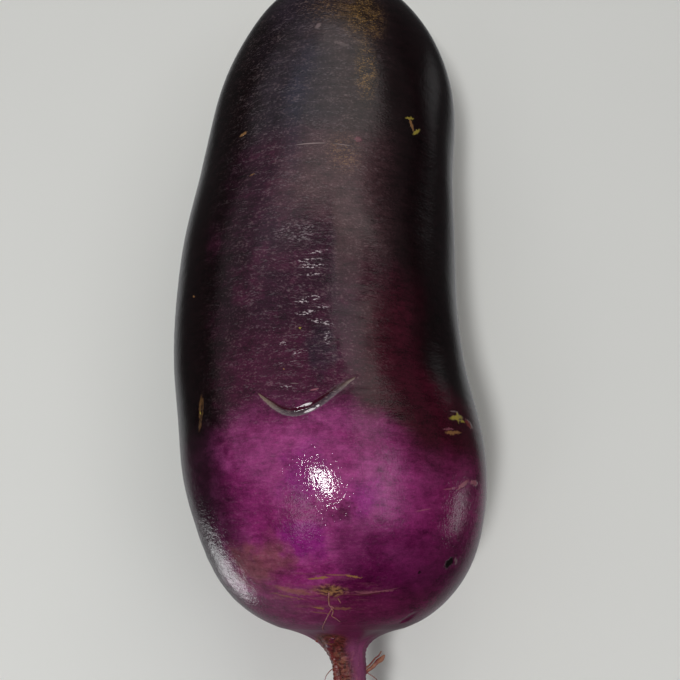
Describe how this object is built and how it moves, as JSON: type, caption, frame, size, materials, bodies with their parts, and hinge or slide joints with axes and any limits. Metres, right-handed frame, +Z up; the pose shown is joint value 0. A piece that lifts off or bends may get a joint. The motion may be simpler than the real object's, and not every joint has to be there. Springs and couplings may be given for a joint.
{
  "type": "purple daikon radish",
  "caption": "Whole purple-skinned daikon radish lying on its side: a blunt, slightly bowed root with a thin taproot, rootlets and trimmed leaf stubs.",
  "frame": {"origin": "on the flat strip of the belly that the radish rests on, near the middle of its length and under its weight", "axes": "+Y along the root towards the leaf stubs, -Y towards the taproot, +Z up, +X to the right"},
  "size_m": [0.0756, 0.23, 0.0717],
  "materials": {
    "root_skin": "thin, wet, slightly wrinkled skin",
    "leaf_stalk": "cut, fibrous leaf stalks"
  },
  "bodies": {
    "root": {"radish_root": "root_skin", "leaf_stubs": "leaf_stalk"}
  },
  "joints": []
}
